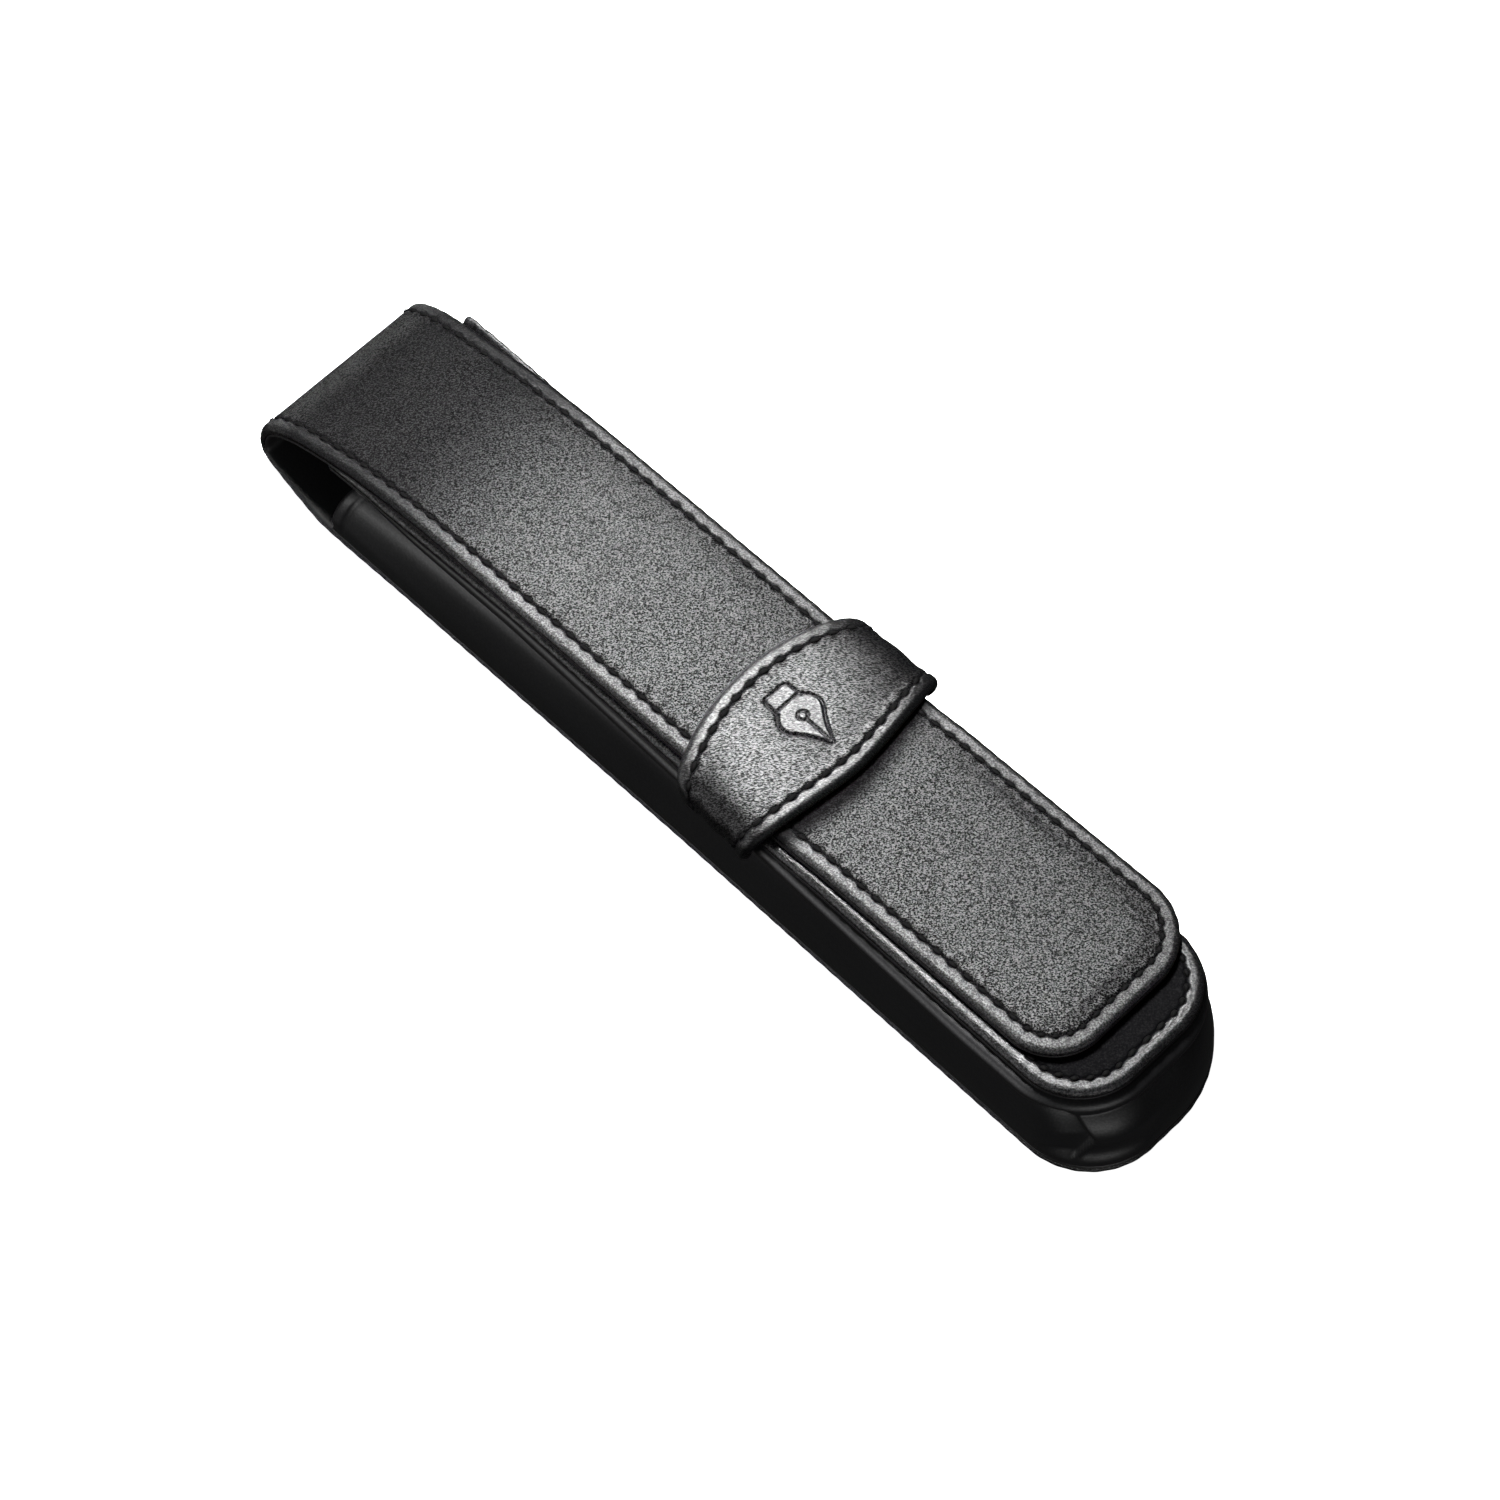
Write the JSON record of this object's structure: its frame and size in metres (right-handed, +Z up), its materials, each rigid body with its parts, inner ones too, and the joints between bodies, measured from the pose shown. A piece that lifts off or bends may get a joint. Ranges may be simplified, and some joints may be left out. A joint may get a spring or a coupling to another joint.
{
  "type": "fountain pen case",
  "caption": "Slim black leather pen case with a stitched gusseted pouch and a folded-over tongue flap held by a wide bowed strap.",
  "frame": {"origin": "middle of the whole case's footprint, on the surface that it lies on", "axes": "+X from the fold of the flap to the closed end, +Y across the case, +Z up through the flap and strap"},
  "size_m": [0.1615, 0.0366, 0.0215],
  "materials": {
    "black_leather": "fine pebbled grain, semi-gloss",
    "gusset_leather": "smooth, soft, nearly matte",
    "lining_leather": "thin split leather, matte",
    "board": "pressed fibre board",
    "thread": "twisted waxed thread"
  },
  "bodies": {
    "case": {"back_leather": "black_leather", "back_board": "board", "back_lining": "lining_leather", "back_stitching": "thread", "front_leather": "black_leather", "front_board": "board", "front_lining": "lining_leather", "front_stitching": "thread", "gusset_leather": "gusset_leather", "gusset_lining": "lining_leather", "strap_leather": "black_leather", "strap_lining": "lining_leather", "strap_stitching_mouth_side": "thread", "strap_stitching_end_side": "thread"},
    "flap": {"flap_leather": "black_leather", "flap_board": "board", "flap_lining": "lining_leather", "flap_stitching": "thread"}
  },
  "joints": [
    {"name": "flap_swing", "type": "hinge", "parent": "case", "child": "flap", "pos_m": [-0.08075, 0, 0.0056], "axis": [0, -1, 0], "range_deg": [0, 150]}
  ]
}
